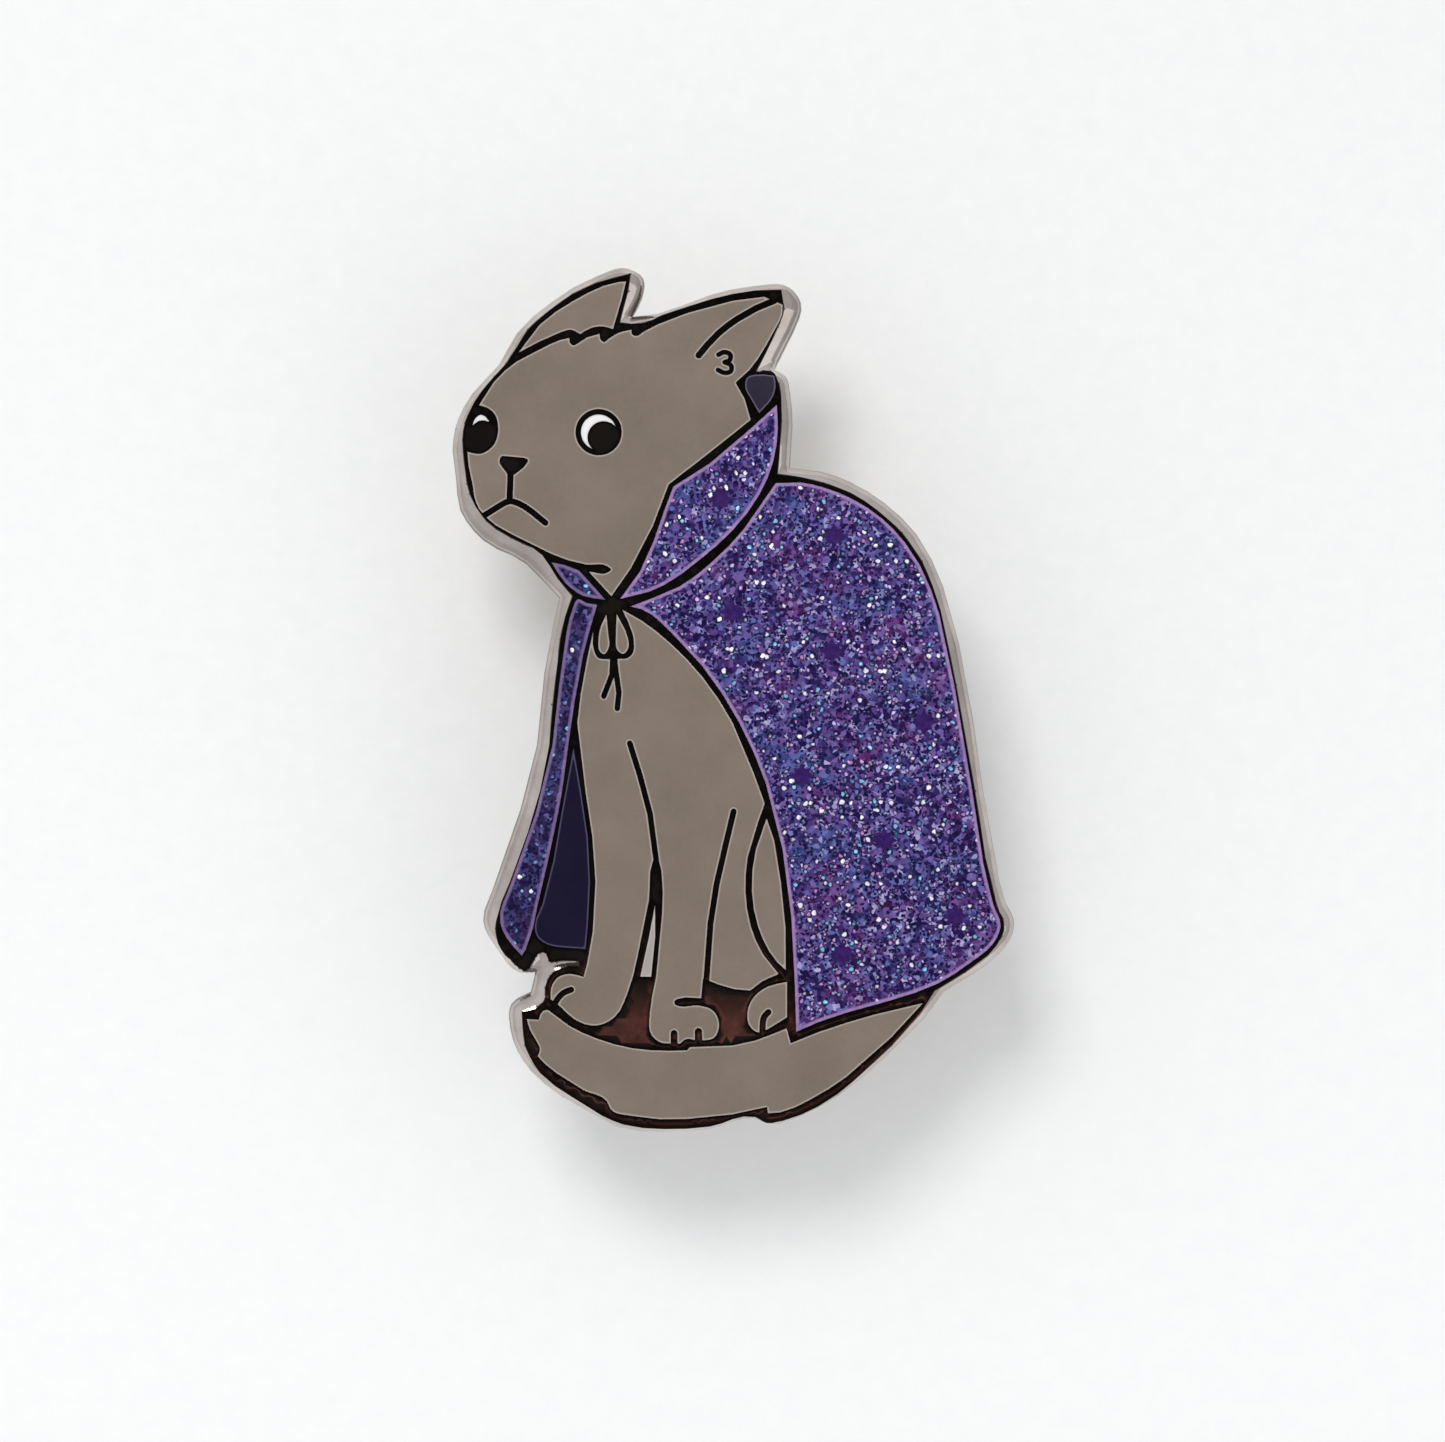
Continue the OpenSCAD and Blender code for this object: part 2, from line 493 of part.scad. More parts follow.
base_plate();
head_enamel();
far_ear_enamel();
near_eye_white();
far_eye_white();
collar_left_glitter();
collar_right_glitter();
collar_lining_enamel();
cape_left_glitter();
cape_right_glitter();
cape_lining_enamel();
body_enamel();
leg_gap_enamel();
haunch_enamel();
hind_paw_enamel();
tail_enamel();
bow_left_enamel();
bow_right_enamel();
star_print();
upper_post();
lower_post();
upper_solder();
lower_solder();
upper_clutch_face();
upper_clutch_shell();
upper_jaw_left();
upper_jaw_right();
lower_clutch_face();
lower_clutch_shell();
lower_jaw_left();
lower_jaw_right();
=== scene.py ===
"""Looks of the enamel pin: a struck plate, hard and glitter enamel, posts and brass clutches.

Lengths inside the mesh code are in millimetres; build() turns them into metres.
"""

import json
import math

import bmesh
import bpy
import numpy as np
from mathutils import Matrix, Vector
from mathutils.geometry import delaunay_2d_cdt

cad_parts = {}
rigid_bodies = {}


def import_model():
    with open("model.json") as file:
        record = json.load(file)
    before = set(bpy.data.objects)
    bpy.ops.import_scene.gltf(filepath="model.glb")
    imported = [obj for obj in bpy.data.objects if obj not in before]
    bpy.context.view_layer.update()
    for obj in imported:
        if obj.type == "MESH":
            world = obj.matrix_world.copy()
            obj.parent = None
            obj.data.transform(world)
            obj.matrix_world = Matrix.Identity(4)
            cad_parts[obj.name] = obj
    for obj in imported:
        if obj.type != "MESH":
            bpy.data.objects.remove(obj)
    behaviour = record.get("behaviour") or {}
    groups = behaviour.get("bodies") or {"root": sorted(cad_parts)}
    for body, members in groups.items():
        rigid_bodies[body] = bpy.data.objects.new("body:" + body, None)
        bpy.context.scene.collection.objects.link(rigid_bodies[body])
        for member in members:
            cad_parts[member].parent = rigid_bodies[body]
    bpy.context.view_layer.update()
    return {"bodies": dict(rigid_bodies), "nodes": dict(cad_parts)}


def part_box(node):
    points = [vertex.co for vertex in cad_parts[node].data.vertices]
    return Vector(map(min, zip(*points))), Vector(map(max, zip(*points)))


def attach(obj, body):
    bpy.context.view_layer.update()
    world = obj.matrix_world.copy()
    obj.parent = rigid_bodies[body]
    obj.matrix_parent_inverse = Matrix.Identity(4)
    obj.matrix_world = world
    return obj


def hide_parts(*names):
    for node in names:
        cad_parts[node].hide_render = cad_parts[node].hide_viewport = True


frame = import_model()
nodes = frame["nodes"]
MM = 1000.0


# ---- Levels and places, read from the frame ---------------------------------------------


def low(node):
    return np.array(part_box(node)[0]) * MM


def high(node):
    return np.array(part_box(node)[1]) * MM


BACK_Z = low("base_plate")[2]
TOP_Z = high("base_plate")[2]
RECESS_Z = low("head_enamel")[2]
ENAMEL_Z = high("head_enamel")[2]
POSTS = [(low(f"{end}_post")[:2] + high(f"{end}_post")[:2]) / 2 for end in ("upper", "lower")]


# ---- Flat outlines, taken from the CAD solids --------------------------------------------


def loops_at(node, z):
    """Closed outlines of a CAD node's flat face at height z, with the solid on the left of each."""
    mesh = nodes[node].data
    co = np.zeros(len(mesh.vertices) * 3, np.float32)
    mesh.vertices.foreach_get("co", co)
    co = np.round(co.reshape(-1, 3).astype(float) * MM, 4)
    mesh.calc_loop_triangles()
    edges = set()
    for tri in mesh.loop_triangles:
        p = co[list(tri.vertices)]
        if np.abs(p[:, 2] - z).max() > 0.002:
            continue
        a, b, c = (tuple(q[:2]) for q in p)
        if (b[0] - a[0]) * (c[1] - a[1]) < (b[1] - a[1]) * (c[0] - a[0]):
            b, c = c, b
        edges.update([(a, b), (b, c), (c, a)])
    following = {}
    for a, b in sorted(edges):
        if (b, a) not in edges and a != b:
            following.setdefault(a, []).append(b)
    loops = []
    while following:
        start = next(iter(following))
        loop, here = [], start
        while here in following:
            loop.append(here)
            after = following[here].pop()
            if not following[here]:
                del following[here]
            here = after
        if len(loop) > 2:
            loops.append(np.array(loop))
    return loops


def area_of(loop):
    x, y = loop[:, 0], loop[:, 1]
    return 0.5 * float(np.sum(x * np.roll(y, -1) - np.roll(x, -1) * y))


def segments(loops):
    starts = np.concatenate(loops)
    ends = np.concatenate([np.roll(loop, -1, axis=0) for loop in loops])
    return starts, ends


def distance(points, loops):
    """Distance from each point to the nearest outline."""
    a, b = segments(loops)
    d = b - a
    square = np.maximum((d * d).sum(1), 1e-12)
    out = np.empty(len(points))
    for i in range(0, len(points), 2000):
        p = points[i : i + 2000, None, :]
        t = np.clip(((p - a) * d).sum(2) / square, 0, 1)
        out[i : i + 2000] = np.sqrt((((a + t[..., None] * d) - p) ** 2).sum(2).min(1))
    return out


def inside(points, loops):
    """True where a point lies in the area that the outlines bound, by counting crossings."""
    a, b = segments(loops)
    out = np.zeros(len(points), bool)
    run = np.where(b[:, 1] == a[:, 1], 1.0, b[:, 1] - a[:, 1])
    for i in range(0, len(points), 2000):
        x, y = points[i : i + 2000, None, 0], points[i : i + 2000, None, 1]
        straddle = (a[:, 1] > y) != (b[:, 1] > y)
        cross_x = a[:, 0] + (y - a[:, 1]) / run * (b[:, 0] - a[:, 0])
        out[i : i + 2000] = ((straddle & (x < cross_x)).sum(1) % 2) == 1
    return out


def vertex_lefts(loop):
    """Unit direction to the left at each corner of an outline."""
    d = np.roll(loop, -1, axis=0) - loop
    d /= np.maximum(np.hypot(*d.T), 1e-9)[:, None]
    mean = d + np.roll(d, 1, axis=0)
    mean /= np.maximum(np.hypot(*mean.T), 1e-9)[:, None]
    return np.stack([-mean[:, 1], mean[:, 0]], 1)


def resampled(loop, spacing):
    """Points along a closed outline about spacing apart, and the direction to the left at each."""
    points, lefts = [], []
    for a, b in zip(loop, np.roll(loop, -1, axis=0)):
        d = b - a
        length = float(np.hypot(*d))
        if length < 1e-6:
            continue
        count = max(1, round(length / spacing))
        for k in range(count):
            points.append(a + d * (k + 0.5) / count)
            lefts.append(np.array([-d[1], d[0]]) / length)
    return np.array(points), np.array(lefts)


def inset_rows(loops, depths, spacing):
    """Rows of points at each depth inside the outlines."""
    rows = []
    for loop in loops:
        points, lefts = resampled(loop, spacing)
        for depth in depths:
            row = points + lefts * depth
            rows.append(row[(distance(row, loops) > depth * 0.96) & inside(row, loops)])
    return np.concatenate(rows)


def field(loops, pitch, margin):
    """Points of a triangular lattice inside the outlines, at least margin from them."""
    every = np.concatenate(loops)
    (x0, y0), (x1, y1) = every.min(0), every.max(0)
    rows = []
    for j, y in enumerate(np.arange(y0, y1, pitch * 0.866)):
        x = np.arange(x0 + (j % 2) * pitch / 2, x1, pitch)
        rows.append(np.stack([x, np.full_like(x, y)], 1))
    points = np.concatenate(rows)
    points = points[inside(points, loops)]
    return points[distance(points, loops) > margin] if len(points) else points


def triangulate(loops, extra=None):
    """Vertices and triangles that fill the outlines, through the extra points."""
    points, edges = [], []
    for loop in loops:
        first = len(points)
        points += [Vector(p) for p in loop]
        edges += [(first + i, first + (i + 1) % len(loop)) for i in range(len(loop))]
    if extra is not None:
        points += [Vector(p) for p in extra]
    found = delaunay_2d_cdt(points, edges, [], 0, 1e-5)
    verts = np.array([tuple(v) for v in found[0]])
    faces = np.array(found[2])
    middles = verts[faces].mean(1)
    faces = faces[inside(middles, loops)]
    a, b, c = (verts[faces[:, k]] for k in range(3))
    turned = (b[:, 0] - a[:, 0]) * (c[:, 1] - a[:, 1]) < (b[:, 1] - a[:, 1]) * (c[:, 0] - a[:, 0])
    faces[turned] = faces[turned][:, ::-1]
    return verts, faces


# ---- Meshes ------------------------------------------------------------------------------

WELD_M = 2e-7
SHARP_DEG = 35
BEVEL_DEG = 32


class Patchwork:
    """Surfaces that are welded into one mesh; each vertex keeps its distance to the nearest edge."""

    def __init__(self):
        self.verts, self.faces, self.edge = [], [], []

    def add(self, xy, z, faces, edge, flip=False):
        first = len(self.verts)
        z = np.broadcast_to(z, len(xy))
        edge = np.broadcast_to(edge, len(xy))
        self.verts += [(p[0], p[1], h) for p, h in zip(xy, z)]
        self.edge += list(edge)
        for f in faces:
            f = [first + int(i) for i in f]
            self.faces.append(f[::-1] if flip else f)

    def wall(self, loop, z_from, z_to):
        """A wall along an outline that has the solid on its left, from the lower to the upper height."""
        n = len(loop)
        z_from, z_to = np.broadcast_to(z_from, n), np.broadcast_to(z_to, n)
        xy = np.concatenate([loop, loop])
        z = np.concatenate([z_from, z_to])
        quads = [(i, (i + 1) % n, n + (i + 1) % n, n + i) for i in range(n)]
        self.add(xy, z, quads, 0.0)

    def build(self, name, material, creases=()):
        """The mesh as a piece; creases are outlines along which the surface has an edge."""
        mesh = bpy.data.meshes.new(name)
        mesh.from_pydata([tuple(c / MM for c in v) for v in self.verts], [], self.faces)
        attribute = mesh.attributes.new("edge_mm", "FLOAT", "POINT")
        attribute.data.foreach_set("value", np.array(self.edge, np.float32))
        bm = bmesh.new()
        bm.from_mesh(mesh)
        bmesh.ops.remove_doubles(bm, verts=bm.verts, dist=WELD_M)
        bm.to_mesh(mesh)
        bm.free()
        mesh.polygons.foreach_set("use_smooth", [True] * len(mesh.polygons))
        mesh.set_sharp_from_angle(angle=math.radians(SHARP_DEG))
        corners = {tuple(np.round(p, 3)) for loop in creases for p in loop}
        on_crease = [tuple(np.round(np.array(v.co[:2]) * MM, 3)) in corners for v in mesh.vertices]
        for edge in mesh.edges:
            if on_crease[edge.vertices[0]] and on_crease[edge.vertices[1]]:
                edge.use_edge_sharp = True
        mesh.materials.append(material)
        obj = bpy.data.objects.new(name, mesh)
        bpy.context.scene.collection.objects.link(obj)
        return obj


def smooth_step(x, start, end):
    t = np.clip((x - start) / (end - start), 0, 1)
    return t * t * (3 - 2 * t)


def bumps(xy, scale, seed):
    """A gentle, repeatable unevenness between -1 and 1."""
    rng = np.random.default_rng(seed)
    total = np.zeros(len(xy))
    for _ in range(6):
        angle, phase = rng.uniform(0, 2 * math.pi, 2)
        wave = rng.uniform(0.7, 1.4) * scale
        total += np.sin(wave * (xy[:, 0] * math.cos(angle) + xy[:, 1] * math.sin(angle)) + phase)
    return total / 6


# ---- Materials ----------------------------------------------------------------------------

# Zones of the plate in its edge_mm attribute: below RIM it is the distance to a cell or to the
# rim; RIM to RIM + 1 runs from the lines out to the side; SIDE is the side wall and the back.
RIM = 1.0
SIDE = 3.0

# How pale the plate is painted at each zone: line edge, line, rim, shaded rim, outline, side and back. The
# plating is one colour; these tones are painted reflection and painted shade that darken the lines and their
# edges, the outer rim, the outline, the side and the back.
PLATE_PAINTED_TONES = [
    (0.06, 0.11), (0.14, 0.26), (RIM - 0.06, 0.26), (RIM - 0.01, 1.0), (RIM + 0.4, 1.0),
    (RIM + 0.62, 0.83), (RIM + 0.86, 0.83), (RIM + 0.94, 0.3), (SIDE, 0.24),
]

# Width of the paler line painted on the enamel along the metal as a highlight
PAINTED_HIGHLIGHT_WIDTH = 0.085


class Nodes:
    """A short way to write a node tree."""

    def __init__(self, name):
        self.material = bpy.data.materials.new(name)
        self.material.use_nodes = True
        self.tree = self.material.node_tree
        self.tree.nodes.clear()
        self.out = self.node("ShaderNodeOutputMaterial")
        self.shader = self.node("ShaderNodeBsdfPrincipled")
        self.link(self.shader.outputs[0], self.out.inputs[0])

    def node(self, kind, **settings):
        made = self.tree.nodes.new(kind)
        for key, value in settings.items():
            setattr(made, key, value)
        return made

    def link(self, a, b):
        self.tree.links.new(a, b)

    def feed(self, socket, value):
        if isinstance(value, bpy.types.NodeSocket):
            self.link(value, socket)
        elif socket.type == "RGBA":
            socket.default_value = (*value, 1.0)
        else:
            socket.default_value = value

    def set(self, **values):
        for key, value in values.items():
            self.feed(self.shader.inputs[key.replace("_", " ")], value)

    def place(self):
        return self.node("ShaderNodeTexCoord").outputs["Object"]

    def moved(self, vector, offset):
        made = self.node("ShaderNodeVectorMath", operation="ADD")
        self.link(vector, made.inputs[0])
        made.inputs[1].default_value = offset
        return made.outputs[0]

    def noise(self, vector, scale, detail=2.0, rough=0.5):
        made = self.node("ShaderNodeTexNoise")
        self.link(vector, made.inputs["Vector"])
        made.inputs["Scale"].default_value = scale
        made.inputs["Detail"].default_value = detail
        made.inputs["Roughness"].default_value = rough
        return made.outputs["Fac"]

    def voronoi(self, vector, scale):
        made = self.node("ShaderNodeTexVoronoi")
        self.link(vector, made.inputs["Vector"])
        made.inputs["Scale"].default_value = scale
        return made

    def math(self, operation, a, b):
        made = self.node("ShaderNodeMath", operation=operation)
        self.feed(made.inputs[0], a)
        self.feed(made.inputs[1], b)
        return made.outputs[0]

    def map(self, value, low_in, high_in, low_out=0.0, high_out=1.0, smooth=False):
        made = self.node("ShaderNodeMapRange", interpolation_type="SMOOTHSTEP" if smooth else "LINEAR")
        self.link(value, made.inputs["Value"])
        for socket, number in zip(list(made.inputs)[1:5], (low_in, high_in, low_out, high_out)):
            socket.default_value = number
        return made.outputs[0]

    def ramp(self, value, stops):
        made = self.node("ShaderNodeValToRGB")
        elements = made.color_ramp.elements
        while len(elements) < len(stops):
            elements.new(1.0)
        for element, (place, colour) in zip(elements, stops):
            element.position = place
            element.color = (*colour, 1.0)
        self.link(value, made.inputs[0])
        return made.outputs[0]

    def mix(self, fac, a, b, blend="MIX"):
        made = self.node("ShaderNodeMix", data_type="RGBA", blend_type=blend)
        self.feed(made.inputs["Factor"], fac)
        self.feed(made.inputs[6], a)
        self.feed(made.inputs[7], b)
        return made.outputs[2]

    def bump(self, height, strength, distance):
        made = self.node("ShaderNodeBump")
        made.inputs["Strength"].default_value = strength
        made.inputs["Distance"].default_value = distance
        self.link(height, made.inputs["Height"])
        return made.outputs[0]

    def channel(self, texture, index):
        """One of the three numbers in a texture's colour."""
        split = self.node("ShaderNodeSeparateColor")
        self.link(texture.outputs["Color"], split.inputs[0])
        return split.outputs[index]

    def edge(self):
        return self.node("ShaderNodeAttribute", attribute_name="edge_mm").outputs["Fac"]


def srgb(r, g, b):
    """A colour given as it looks on a screen, 0 to 255, as the linear numbers that shaders use."""
    return tuple(((c / 255 + 0.055) / 1.055) ** 2.4 if c > 10 else c / 255 / 12.92 for c in (r, g, b))


def scratched(n, place, amount):
    """Fine polishing marks in two directions, as a bump."""
    heights = None
    for turn in (0.35, 1.9):
        mapping = n.node("ShaderNodeMapping")
        mapping.inputs["Rotation"].default_value = (0, 0, turn)
        mapping.inputs["Scale"].default_value = (1.0, 0.03, 1.0)
        n.link(place, mapping.inputs["Vector"])
        marks = n.noise(mapping.outputs[0], 26000, 2.0, 0.7)
        heights = marks if heights is None else n.math("ADD", heights, marks)
    return n.bump(heights, amount, 0.000004)


def plated_metal(name, light, dark, rough_low, rough_high, scratches, plate=False):
    """Polished plating: cloudy reflectance, uneven polish and scratches.

    On the plate its tone follows the table of painted tones by the zone in edge_mm, which darkens all but the
    rim with painted reflection and painted shade, and it is rougher at the side and the back.
    """
    n = Nodes(name)
    place = n.place()
    cloud = n.noise(place, 420, 4.0, 0.6)
    colour = n.mix(n.map(cloud, 0.35, 0.65, smooth=True), dark, light)
    polish = n.map(n.noise(place, 1800, 5.0, 0.65), 0.3, 0.7, rough_low, rough_high)
    if plate:
        zone = n.math("ADD", n.edge(), n.map(cloud, 0.3, 0.7, -0.015, 0.015))
        # Painted reflection and painted shade: the plate's colour is multiplied by its zone's tone
        stops = [(at / SIDE, (tone, tone, tone)) for at, tone in PLATE_PAINTED_TONES]
        painted_shade = n.ramp(n.map(zone, 0.0, SIDE), stops)
        colour = n.mix(1.0, colour, painted_shade, "MULTIPLY")
        polish = n.math("ADD", polish, n.map(zone, RIM + 1.3, SIDE - 0.2, 0.0, 0.2))
    n.set(Metallic=1.0, Base_Color=colour, Roughness=polish, Normal=scratched(n, place, scratches))
    return n.material


def enamel(name, colour, painted_highlight_colour, cloudiness=0.05):
    """Hard enamel polished flush: slightly cloudy, with specks and a paler line along the metal painted as a
    highlight.
    """
    n = Nodes(name)
    place = n.place()
    paler = tuple(min(1.0, c * (1 + 2 * cloudiness)) for c in colour)
    deeper = tuple(c * (1 - 2 * cloudiness) for c in colour)
    cloud = n.noise(place, 330, 5.0, 0.62)
    body = n.mix(n.map(cloud, 0.3, 0.7), deeper, paler)
    grain = n.noise(n.moved(place, (0.3, 0.1, 0.0)), 5200, 3.0, 0.6)
    body = n.mix(n.map(grain, 0.35, 0.7, 0.0, 0.12), body, tuple(min(1.0, c * 1.35) for c in colour))
    specks = n.voronoi(n.moved(place, (0.1, 0.2, 0.0)), 1500)
    dots = n.map(specks.outputs["Distance"], 0.05, 0.09, 1.0, 0.0, smooth=True)
    body = n.mix(n.math("MULTIPLY", dots, 0.16), body, tuple(c * 0.6 for c in colour))
    # Painted highlight: a paler line along the metal, where the enamel dips at its edge
    painted_edge_highlight = n.map(n.edge(), PAINTED_HIGHLIGHT_WIDTH * 0.45, PAINTED_HIGHLIGHT_WIDTH, 1.0, 0.0, smooth=True)
    n.set(Base_Color=n.mix(painted_edge_highlight, body, painted_highlight_colour))
    n.set(Roughness=n.map(cloud, 0.3, 0.7, 0.16, 0.24), IOR=1.5, Specular_IOR_Level=0.3)
    n.set(Coat_Weight=0.2, Coat_Roughness=0.06)
    n.set(Normal=scratched(n, place, 0.05))
    return n.material


def glitter(name, flakes, patches, painted_glints, plain_edge_painted_pale, seed):
    """Clear enamel over packed flakes, each with its own colour and tilt, some painted bright as glints, and
    a plain edge painted pale as a highlight along the metal.
    """
    n = Nodes(name)
    place = n.moved(n.place(), (seed, seed * 0.7, 0.0))
    wobble = n.node("ShaderNodeTexNoise")
    n.link(place, wobble.inputs["Vector"])
    wobble.inputs["Scale"].default_value = 4200
    bent = n.node("ShaderNodeVectorMath", operation="MULTIPLY_ADD")
    n.link(wobble.outputs["Color"], bent.inputs[0])
    bent.inputs[1].default_value = (0.00022, 0.00022, 0.0)
    n.link(place, bent.inputs[2])
    bed = n.voronoi(bent.outputs[0], 5200)
    colour = n.ramp(n.channel(bed, 0), flakes)

    # Larger patches lean towards blue or pink
    for offset, tint, amount in patches:
        drift = n.noise(n.moved(place, (offset, 0.0, 0.0)), 620, 3.0, 0.55)
        colour = n.mix(n.map(drift, 0.5, 0.7, 0.0, amount, smooth=True), colour, tint)

    # Gaps between flakes, down to the dark ground
    gaps = n.voronoi(n.moved(bent.outputs[0], (0.007, 0.003, 0.0)), 6100)
    hole = n.map(gaps.outputs["Distance"], 0.34, 0.5, 1.0, 0.0, smooth=True)
    deep = n.math("GREATER_THAN", n.channel(gaps, 1), 0.38)
    colour = n.mix(n.math("MULTIPLY", hole, deep), colour, GROUND)

    # Flakes painted bright as glints, each in a dark surround
    for offset, scale, share, tint in painted_glints:
        cells = n.voronoi(n.moved(bent.outputs[0], (offset, offset, 0.0)), scale)
        chosen = n.math("GREATER_THAN", n.channel(cells, 1), share)
        ring = n.map(cells.outputs["Distance"], 0.4, 0.6, 0.9, 0.0, smooth=True)
        flake = n.map(cells.outputs["Distance"], 0.2, 0.38, 1.0, 0.0, smooth=True)
        colour = n.mix(n.math("MULTIPLY", chosen, ring), colour, GROUND)
        colour = n.mix(n.math("MULTIPLY", chosen, flake), colour, tint)
    # A plain edge along the metal, painted pale as a highlight
    painted_edge_highlight = n.map(n.edge(), 0.08, 0.19, 1.0, 0.0, smooth=True)
    haze = n.noise(place, 2600, 3.0)
    n.set(Base_Color=n.mix(painted_edge_highlight, colour, n.mix(n.map(haze, 0.3, 0.7), plain_edge_painted_pale[0], plain_edge_painted_pale[1])))
    tilt = n.node("ShaderNodeVectorMath", operation="MULTIPLY_ADD")
    n.link(bed.outputs["Color"], tilt.inputs[0])
    tilt.inputs[1].default_value = (0.5, 0.5, 0.0)
    tilt.inputs[2].default_value = (-0.25, -0.25, 0.0)
    lean = n.node("ShaderNodeVectorMath", operation="ADD")
    n.link(tilt.outputs[0], lean.inputs[0])
    n.link(n.node("ShaderNodeNewGeometry").outputs["Normal"], lean.inputs[1])
    level = n.node("ShaderNodeVectorMath", operation="NORMALIZE")
    n.link(lean.outputs[0], level.inputs[0])
    n.set(Normal=level.outputs[0], Metallic=n.map(n.edge(), 0.1, 0.2, 0.0, 0.3, smooth=True), Roughness=0.4)
    n.set(Coat_Weight=0.8, Coat_Roughness=0.04, IOR=1.5, Specular_IOR_Level=0.12)
    return n.material


def printed_ink(name, colour):
    """Thin screen-printed ink: slightly uneven cover and a soft gloss."""
    n = Nodes(name)
    place = n.place()
    cover = n.noise(place, 4200, 4.0, 0.6)
    paler = tuple(min(1.0, c * 1.5 + 0.004) for c in colour)
    n.set(Base_Color=n.mix(n.map(cover, 0.35, 0.7), colour, paler))
    n.set(Roughness=n.map(cover, 0.3, 0.7, 0.25, 0.42), Specular_IOR_Level=0.2)
    n.set(Coat_Weight=0.4, Coat_Roughness=0.08)
    n.set(Normal=n.bump(cover, 0.25, 0.00001))
    return n.material


def solder_metal(name):
    """Dull, lumpy tin solder."""
    n = Nodes(name)
    place = n.place()
    lumps = n.noise(place, 1900, 5.0, 0.6)
    n.set(Metallic=1.0, Base_Color=n.mix(n.map(lumps, 0.3, 0.7), srgb(120, 118, 116), srgb(190, 188, 184)))
    n.set(Roughness=n.map(lumps, 0.3, 0.7, 0.28, 0.5), Normal=n.bump(lumps, 0.5, 0.00004))
    return n.material


def stamped_brass(name):
    """Stamped and tumbled brass: warm cloudiness, scuffs, darker oxide in patches."""
    n = Nodes(name)
    place = n.place()
    cloud = n.noise(place, 260, 5.0, 0.6)
    colour = n.mix(n.map(cloud, 0.3, 0.7), srgb(196, 158, 88), srgb(232, 200, 132))
    oxide = n.noise(n.moved(place, (0.2, 0.0, 0.1)), 900, 6.0, 0.7)
    colour = n.mix(n.map(oxide, 0.55, 0.75, 0.0, 0.5), colour, srgb(138, 96, 48))
    n.set(Metallic=1.0, Base_Color=colour, Roughness=n.map(oxide, 0.3, 0.75, 0.14, 0.36))
    n.set(Normal=scratched(n, place, 0.22))
    return n.material


def paper(name):
    """White card with painted light: it glows faintly so that shadows on it stay pale, a little more towards
    the foot of the pin.
    """
    n = Nodes(name)
    place = n.place()
    fibre = n.noise(place, 900, 6.0, 0.7)
    n.set(Base_Color=n.mix(n.map(fibre, 0.3, 0.7), srgb(225, 225, 224), srgb(228, 228, 226)))
    n.set(Roughness=0.75, Specular_IOR_Level=0.25, Normal=n.bump(fibre, 0.08, 0.00005))
    split = n.node("ShaderNodeSeparateXYZ")
    n.link(place, split.inputs[0])
    # Painted light: the glow is stronger towards the foot of the pin
    nearer = n.map(split.outputs[1], -0.03, 0.03, 0.21, 0.13)
    glow = n.math("ADD", nearer, n.map(fibre, 0.3, 0.7, -0.005, 0.005))
    n.set(Emission_Color=(0.98, 0.99, 1.0), Emission_Strength=glow)
    return n.material


# Pale nickel plating; its dark lines, shaded rim, side and back come from the painted tones, painted
# reflection and painted shade
NICKEL = plated_metal("black_nickel", srgb(212, 202, 195), srgb(190, 180, 173), 0.035, 0.09, 0.05, plate=True)
POST_METAL = plated_metal("post_plating", srgb(120, 116, 114), srgb(88, 84, 83), 0.12, 0.26, 0.2)
SOLDER = solder_metal("dull_solder")
BRASS = stamped_brass("stamped_brass")
INK = printed_ink("star_print_ink", srgb(42, 10, 82))
FUR = enamel("fur_enamel", srgb(127, 115, 104), srgb(175, 164, 154))
LIGHT_FUR = enamel("light_fur_enamel", srgb(164, 156, 151), srgb(188, 181, 176))
EYE_WHITE = enamel("eye_white_enamel", srgb(238, 236, 236), srgb(225, 222, 222), 0.02)
SLATE = enamel("slate_enamel", srgb(43, 38, 54), srgb(94, 88, 108))
NAVY = enamel("navy_enamel", srgb(21, 16, 42), srgb(78, 72, 102))
GROUND = srgb(12, 2, 60)
VIOLET_FLAKES = [
    (0.0, srgb(16, 2, 60)), (0.28, srgb(38, 18, 86)), (0.44, srgb(68, 48, 114)), (0.6, srgb(92, 76, 140)),
    (0.75, srgb(122, 92, 160)), (0.87, srgb(92, 108, 176)), (1.0, srgb(196, 184, 226)),
]
BLUE_FLAKES = [
    (0.0, srgb(18, 6, 52)), (0.35, srgb(30, 20, 62)), (0.55, srgb(48, 40, 84)), (0.7, srgb(70, 58, 106)),
    (0.88, srgb(58, 70, 130)), (1.0, srgb(118, 112, 166)),
]
# Colours of the flakes painted bright as glints
WHITE_GLINT = srgb(244, 240, 255)
CYAN_GLINT = srgb(128, 190, 228)
BLUE_GLINT = srgb(104, 124, 182)
PINK_GLINT = srgb(186, 134, 192)
LILAC_GLINT = srgb(178, 164, 214)
VIOLET = glitter(
    "violet_glitter",
    VIOLET_FLAKES,
    [(0.0, srgb(70, 96, 160), 0.45), (0.2, srgb(116, 48, 116), 0.45)],
    [
        (0.051, 4300, 0.77, LILAC_GLINT), (0.013, 3900, 0.87, PINK_GLINT), (0.033, 3700, 0.87, BLUE_GLINT),
        (0.027, 3500, 0.93, CYAN_GLINT), (0.041, 3100, 0.86, WHITE_GLINT),
    ],
    # Plain edge along the metal, painted pale as a highlight
    (srgb(146, 114, 168), srgb(164, 134, 186)),
    0.05,
)
